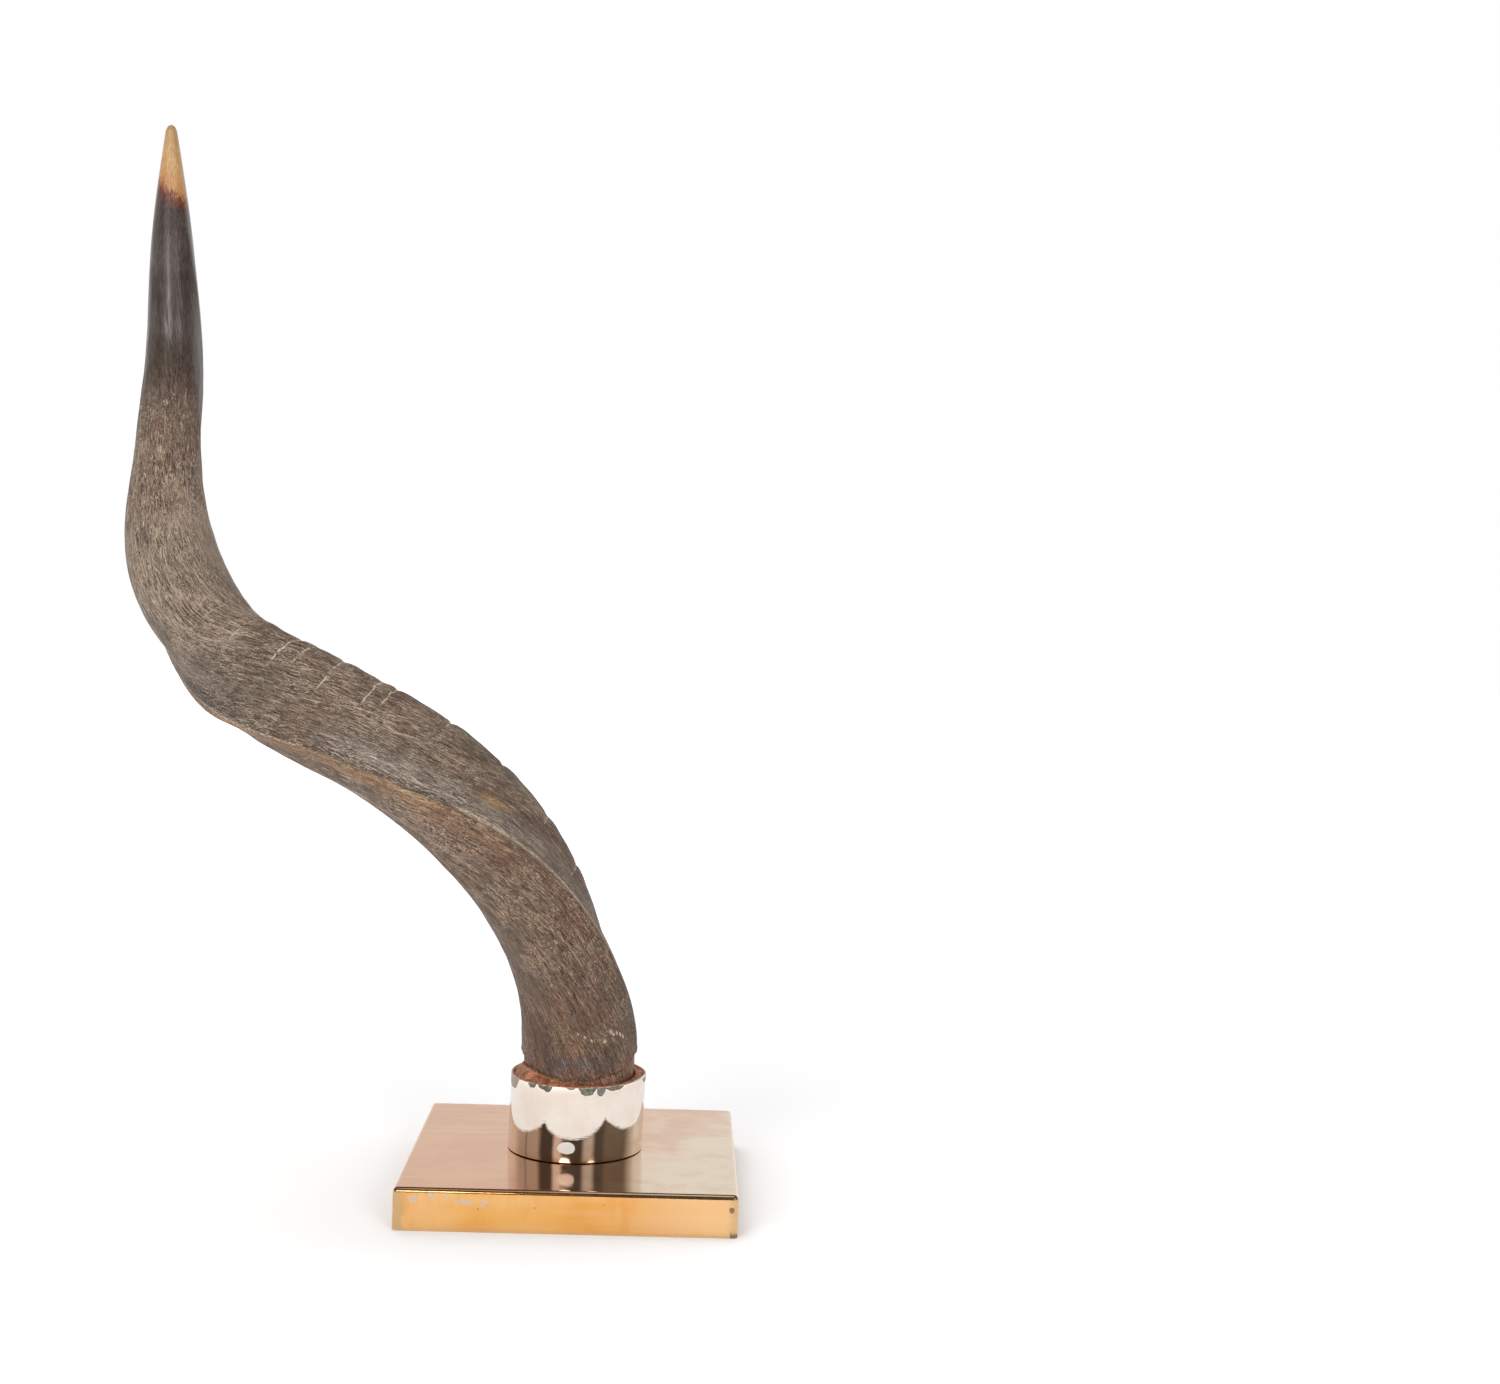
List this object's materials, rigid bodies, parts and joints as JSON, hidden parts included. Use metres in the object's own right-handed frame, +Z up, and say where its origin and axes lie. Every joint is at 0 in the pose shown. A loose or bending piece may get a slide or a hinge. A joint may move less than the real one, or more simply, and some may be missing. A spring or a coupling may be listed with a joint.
{
  "type": "mounted antelope horn",
  "caption": "Long keeled antelope horn with a corkscrew twist and a pale tip, set in a polished ferrule on a square brass-covered foot.",
  "frame": {"origin": "centre of the foot's underside", "axes": "+Z up; +X right along the foot's front edge; -Y towards the viewer; the horn sweeps out to -X"},
  "size_m": [0.4041, 0.2032, 0.666],
  "materials": {
    "horn_keratin": "fibrous grey-brown horn, matte, with a glossy dark upper part and an ivory tip",
    "setting_compound": "rough red-brown filler",
    "polished_nickel": "mirror polish",
    "polished_brass": "polished, with faint tarnish",
    "core_wood": "plain sawn wood"
  },
  "bodies": {
    "root": {"horn": "horn_keratin", "bedding": "setting_compound", "ferrule": "polished_nickel", "base_cover": "polished_brass", "base_block": "core_wood"}
  },
  "joints": []
}
